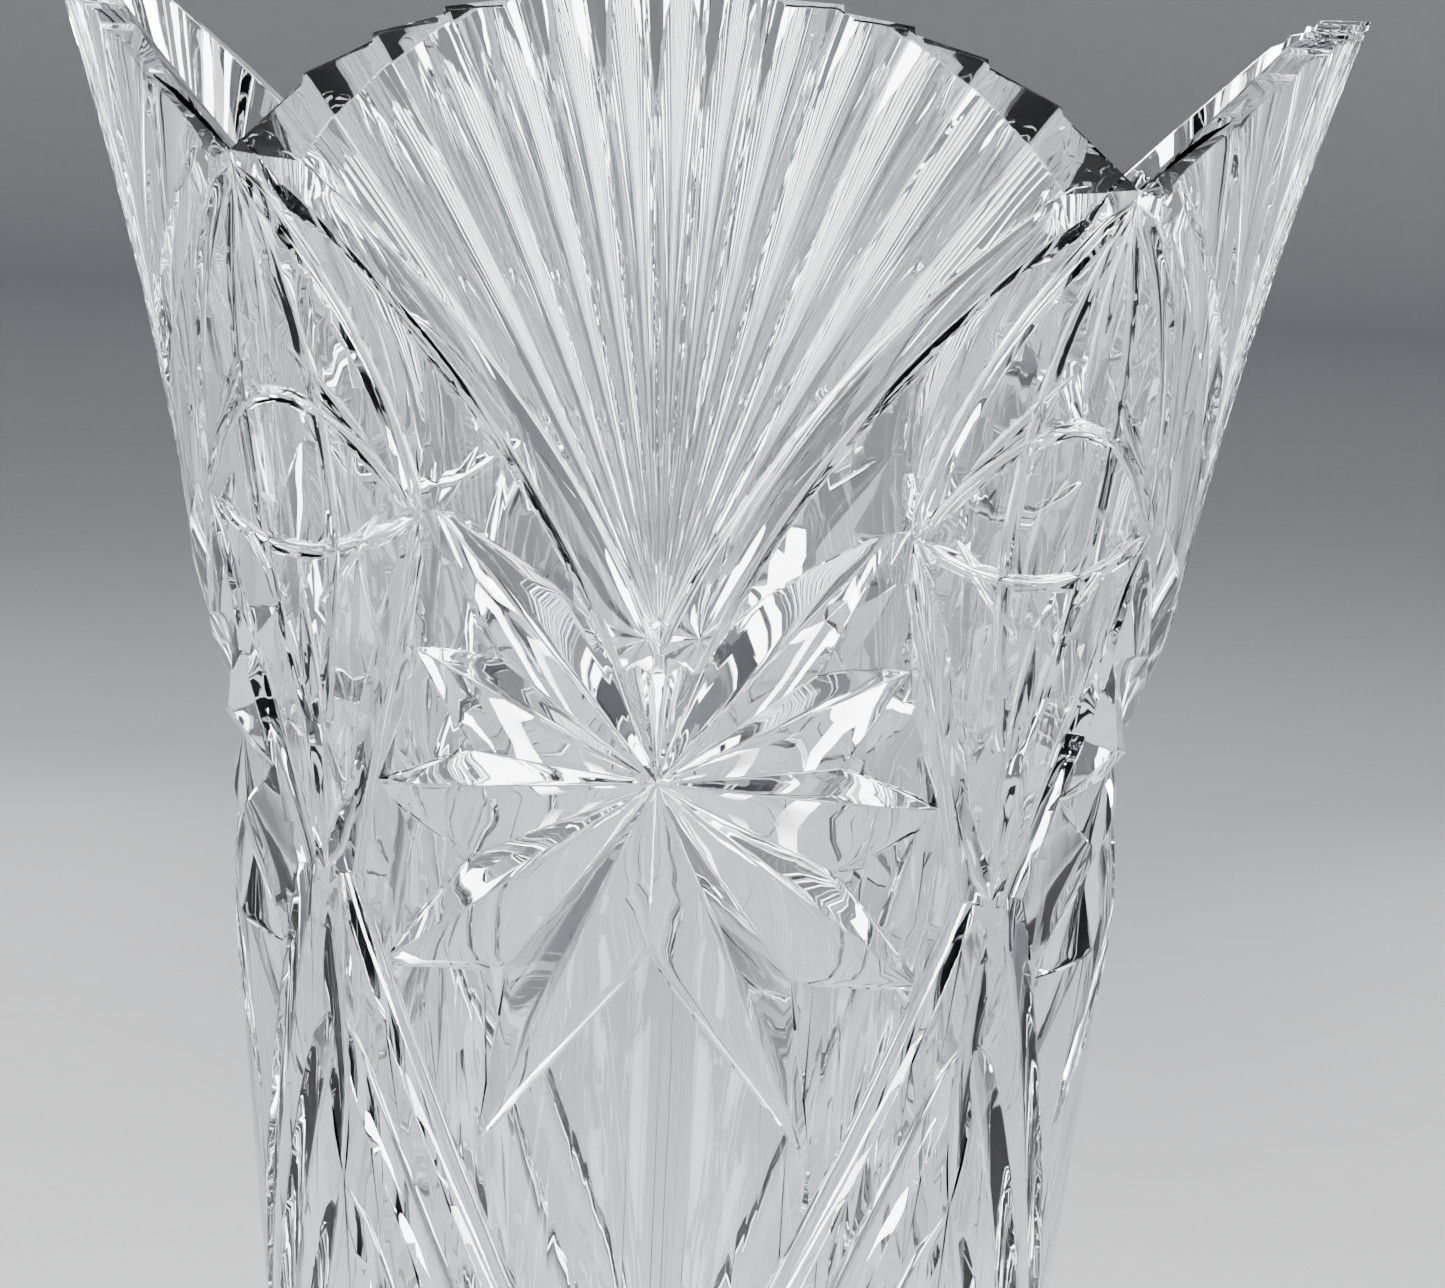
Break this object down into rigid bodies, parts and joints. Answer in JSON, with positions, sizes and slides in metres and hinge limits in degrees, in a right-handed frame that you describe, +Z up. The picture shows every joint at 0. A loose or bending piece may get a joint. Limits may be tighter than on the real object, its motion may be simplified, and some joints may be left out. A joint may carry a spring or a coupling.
{
  "type": "vase",
  "caption": "Tall tapering cut crystal vase with a scalloped stepped rim, cut fans and stars on its faces, hobstars on its corners and a thick clear foot; holds flowers.",
  "frame": {"origin": "middle of the resting face", "axes": "+Z up along the vase's axis; the first face looks along -Y, the corners lie between the axes"},
  "size_m": [0.1694, 0.1694, 0.2619],
  "materials": {
    "crystal": "clear lead crystal, polished, with bright mitre cuts"
  },
  "bodies": {
    "root": {"base": "crystal", "lower_body": "crystal", "front_face": "crystal", "right_face": "crystal", "back_face": "crystal", "left_face": "crystal", "front_right_corner": "crystal", "back_right_corner": "crystal", "back_left_corner": "crystal", "front_left_corner": "crystal"}
  },
  "joints": []
}
